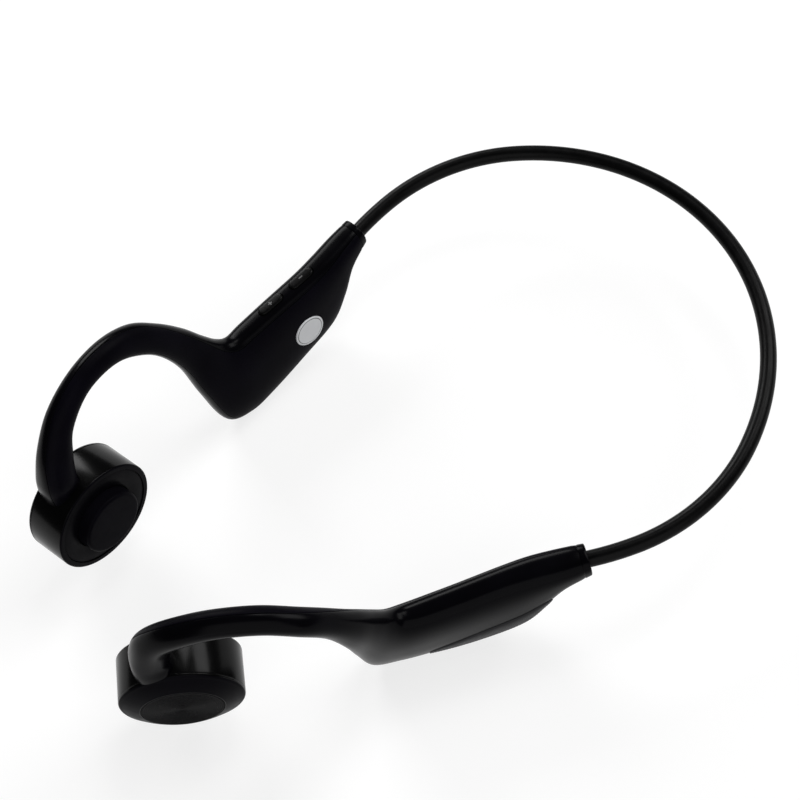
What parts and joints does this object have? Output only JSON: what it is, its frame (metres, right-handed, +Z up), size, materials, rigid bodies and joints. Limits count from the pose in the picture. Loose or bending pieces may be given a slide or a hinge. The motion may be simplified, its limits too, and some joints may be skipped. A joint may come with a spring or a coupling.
{
  "type": "bone conduction headphones",
  "caption": "Open-ear bone conduction headphones: slim neck band, arm pods with ear hooks, round transducer pucks with contact pads, volume buttons on one pod.",
  "frame": {"origin": "middle of the bounding box's floor, under the arms", "axes": "+X to the wearer's left, +Y to the rear (the neck band's bend), +Z up"},
  "size_m": [0.115, 0.1736, 0.0533],
  "materials": {
    "band_silicone": "matte silicone",
    "lead_jacket": "matte",
    "shell_black": "satin soft-touch",
    "shell_inner": "satin soft-touch",
    "grip_black": "fine grained",
    "puck_black": "semi-gloss",
    "face_black": "satin",
    "pad_soft": "smooth soft-touch",
    "spun_black": "fine spun rings",
    "button_black": "satin, light grey marks",
    "cover_rubber": "matte",
    "badge_silver": "satin silver",
    "lens_clear": "clear",
    "steel": "plain",
    "magnet_nickel": "nickel plated",
    "brass": "plain",
    "copper": "enamelled winding",
    "board_green": "solder mask",
    "chip_black": "moulded",
    "battery_foil": "foil pouch"
  },
  "bodies": {
    "headset": {"neck_band": "band_silicone", "memory_wire": "steel", "band_cable": "lead_jacket", "right_outer_shell": "shell_black", "right_inner_shell": "shell_inner", "right_end_plug": "shell_black", "right_wire_anchor": "brass", "right_speaker_lead": "lead_jacket", "right_grip_panel": "grip_black", "right_puck_cap": "puck_black", "right_puck_ring": "puck_black", "right_face_plate": "face_black", "right_yoke": "steel", "right_magnet": "magnet_nickel", "right_pole_plate": "steel", "right_spring_plate": "steel", "left_outer_shell": "shell_black", "left_inner_shell": "shell_inner", "left_end_plug": "shell_black", "left_wire_anchor": "brass", "left_speaker_lead": "lead_jacket", "left_grip_panel": "grip_black", "left_puck_cap": "puck_black", "left_puck_ring": "puck_black", "left_face_plate": "face_black", "left_yoke": "steel", "left_magnet": "magnet_nickel", "left_pole_plate": "steel", "left_spring_plate": "steel", "right_trim_disc": "spun_black", "function_switch": "steel", "volume_switches": "steel", "main_board": "board_green", "radio_chip": "chip_black", "charge_socket": "steel", "microphone": "steel", "status_lens": "lens_clear", "badge": "badge_silver", "battery": "battery_foil", "battery_board": "board_green"},
    "volume_up": {"volume_up_button": "button_black"},
    "volume_down": {"volume_down_button": "button_black"},
    "function_disc": {"function_button": "spun_black"},
    "right_pad": {"right_contact_pad": "pad_soft", "right_voice_coil": "copper"},
    "left_pad": {"left_contact_pad": "pad_soft", "left_voice_coil": "copper"},
    "cover": {"port_cover": "cover_rubber"}
  },
  "joints": [
    {"name": "volume_up_press", "type": "slide", "parent": "headset", "child": "volume_up", "axis": [0.0628, 0.0537, -0.9966], "range_m": [0, 0.0004], "stiffness_N_per_m": 800},
    {"name": "volume_down_press", "type": "slide", "parent": "headset", "child": "volume_down", "axis": [0.0251, 0.0466, -0.9986], "range_m": [0, 0.0004], "stiffness_N_per_m": 800},
    {"name": "function_press", "type": "slide", "parent": "headset", "child": "function_disc", "axis": [-0.9272, 0.3746, 0], "range_m": [0, 0.0004], "stiffness_N_per_m": 800},
    {"name": "right_pad_stroke", "type": "slide", "parent": "headset", "child": "right_pad", "axis": [0.9272, 0.3746, 0], "range_m": [-0.0002, 0.0002], "stiffness_N_per_m": 200},
    {"name": "left_pad_stroke", "type": "slide", "parent": "headset", "child": "left_pad", "axis": [-0.9272, 0.3746, 0], "range_m": [-0.0002, 0.0002], "stiffness_N_per_m": 200},
    {"name": "port_cover_swing", "type": "hinge", "parent": "headset", "child": "cover", "pos_m": [-0.04178, -0.01581, 0.0016], "axis": [-0.9514, -0.2994, -0.0724], "range_deg": [0, 90]}
  ]
}
